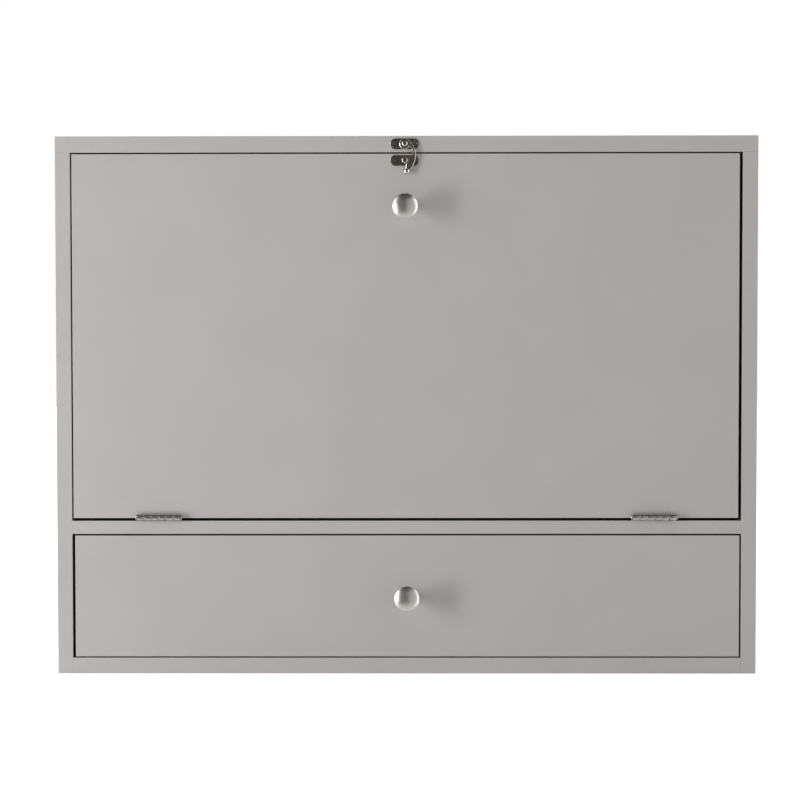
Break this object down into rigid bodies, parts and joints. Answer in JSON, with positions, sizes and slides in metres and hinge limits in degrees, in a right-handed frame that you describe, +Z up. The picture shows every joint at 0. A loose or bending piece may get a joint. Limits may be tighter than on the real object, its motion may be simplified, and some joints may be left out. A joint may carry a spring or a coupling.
{
  "type": "secretary desk",
  "caption": "Wall-hung box desk with a drop-front writing flap on butt hinges and slotted stays, a hook latch, inner pigeonholes and a wide drawer on roller runners.",
  "frame": {"origin": "centre of the footprint, on the underside of the base panel", "axes": "+X to the viewer's right along the width, -Y out of the front, +Y into the wall, +Z up"},
  "size_m": [0.69, 0.205, 0.53],
  "materials": {
    "grey_paint": "satin",
    "drawer_board": "matte",
    "beech": "matte",
    "polished_nickel": "polished",
    "aged_nickel": "aged",
    "zinc_steel": "zinc plated",
    "white_steel": "satin",
    "cast_zinc": "as cast",
    "white_nylon": "matte"
  },
  "bodies": {
    "carcass": {"back_panel": "grey_paint", "back_panel_nails": "zinc_steel", "base_panel": "grey_paint", "cam_bolts": "zinc_steel", "cam_locks": "cast_zinc", "divider_left": "grey_paint", "divider_right": "grey_paint", "hanging_rail": "grey_paint", "hinge_leaf_fixed_left": "polished_nickel", "hinge_leaf_fixed_right": "polished_nickel", "hinge_pin_left": "polished_nickel", "hinge_pin_right": "polished_nickel", "hinge_screws_shelf": "zinc_steel", "inner_shelf": "grey_paint", "latch_nails_top": "aged_nickel", "latch_pivot": "aged_nickel", "latch_top_plate": "aged_nickel", "left_side": "grey_paint", "middle_shelf": "grey_paint", "right_side": "grey_paint", "slide_rail_left": "white_steel", "slide_rail_right": "white_steel", "slide_rail_screws": "zinc_steel", "stay_pin_left": "zinc_steel", "stay_pin_right": "zinc_steel", "top_panel": "grey_paint", "wood_dowels": "beech"},
    "flap": {"flap_panel": "grey_paint", "flap_knob": "polished_nickel", "flap_knob_screw": "zinc_steel", "hinge_leaf_flap_left": "polished_nickel", "hinge_leaf_flap_right": "polished_nickel", "hinge_screws_flap": "zinc_steel", "latch_bottom_plate": "aged_nickel", "latch_catch_post": "aged_nickel", "latch_nails_bottom": "aged_nickel", "stay_bracket_left": "zinc_steel", "stay_bracket_right": "zinc_steel", "stay_bracket_screws": "zinc_steel", "stay_rivets": "zinc_steel"},
    "drawer": {"drawer_front": "grey_paint", "drawer_side_left": "drawer_board", "drawer_side_right": "drawer_board", "drawer_back": "drawer_board", "drawer_bottom": "drawer_board", "drawer_knob": "polished_nickel", "drawer_knob_screw": "zinc_steel", "drawer_dowels": "beech", "drawer_runner_left": "white_steel", "drawer_runner_right": "white_steel", "drawer_runner_screws": "zinc_steel", "drawer_screws": "zinc_steel"},
    "stay_left": {"stay_left": "zinc_steel"},
    "stay_right": {"stay_right": "zinc_steel"},
    "latch_hook": {"latch_hook": "aged_nickel"},
    "roller_front_left": {"roller_front_left": "white_nylon"},
    "roller_front_right": {"roller_front_right": "white_nylon"},
    "roller_rear_left": {"roller_rear_left": "white_nylon"},
    "roller_rear_right": {"roller_rear_right": "white_nylon"}
  },
  "joints": [
    {"name": "flap_fold", "type": "hinge", "parent": "carcass", "child": "flap", "pos_m": [0, -0.0935, 0.1555], "axis": [1, 0, 0], "range_deg": [0, 90]},
    {"name": "drawer_slide", "type": "slide", "parent": "carcass", "child": "drawer", "axis": [0, -1, 0], "range_m": [0, 0.11]},
    {"name": "hook_turn", "type": "hinge", "parent": "carcass", "child": "latch_hook", "pos_m": [-0.0013, -0.092, 0.522], "axis": [0, -1, 0], "range_deg": [0, 120]},
    {"name": "stay_swing_left", "type": "hinge", "parent": "flap", "child": "stay_left", "pos_m": [-0.3244, -0.065, 0.2455], "axis": [1, 0, 0], "range_deg": [-45, 0]},
    {"name": "stay_swing_right", "type": "hinge", "parent": "flap", "child": "stay_right", "pos_m": [0.3244, -0.065, 0.2455], "axis": [1, 0, 0], "range_deg": [-45, 0]},
    {"name": "roller_spin_front_left", "type": "hinge", "parent": "carcass", "child": "roller_front_left", "pos_m": [-0.324, -0.066, 0.0367], "axis": [1, 0, 0], "range_deg": [0, 905]},
    {"name": "roller_spin_rear_left", "type": "hinge", "parent": "drawer", "child": "roller_rear_left", "pos_m": [-0.3232, 0.066, 0.0355], "axis": [1, 0, 0], "range_deg": [0, 905]},
    {"name": "roller_spin_front_right", "type": "hinge", "parent": "carcass", "child": "roller_front_right", "pos_m": [0.324, -0.066, 0.0367], "axis": [1, 0, 0], "range_deg": [0, 905]},
    {"name": "roller_spin_rear_right", "type": "hinge", "parent": "drawer", "child": "roller_rear_right", "pos_m": [0.3232, 0.066, 0.0355], "axis": [1, 0, 0], "range_deg": [0, 905]}
  ],
  "couplings": [
    {"joint": "stay_swing_left", "follows": "flap_fold", "ratio": -0.5},
    {"joint": "stay_swing_right", "follows": "flap_fold", "ratio": -0.5},
    {"joint": "roller_spin_front_left", "follows": "drawer_slide", "rad_per_m": 142.86},
    {"joint": "roller_spin_rear_left", "follows": "drawer_slide", "rad_per_m": 142.86},
    {"joint": "roller_spin_front_right", "follows": "drawer_slide", "rad_per_m": 142.86},
    {"joint": "roller_spin_rear_right", "follows": "drawer_slide", "rad_per_m": 142.86}
  ]
}
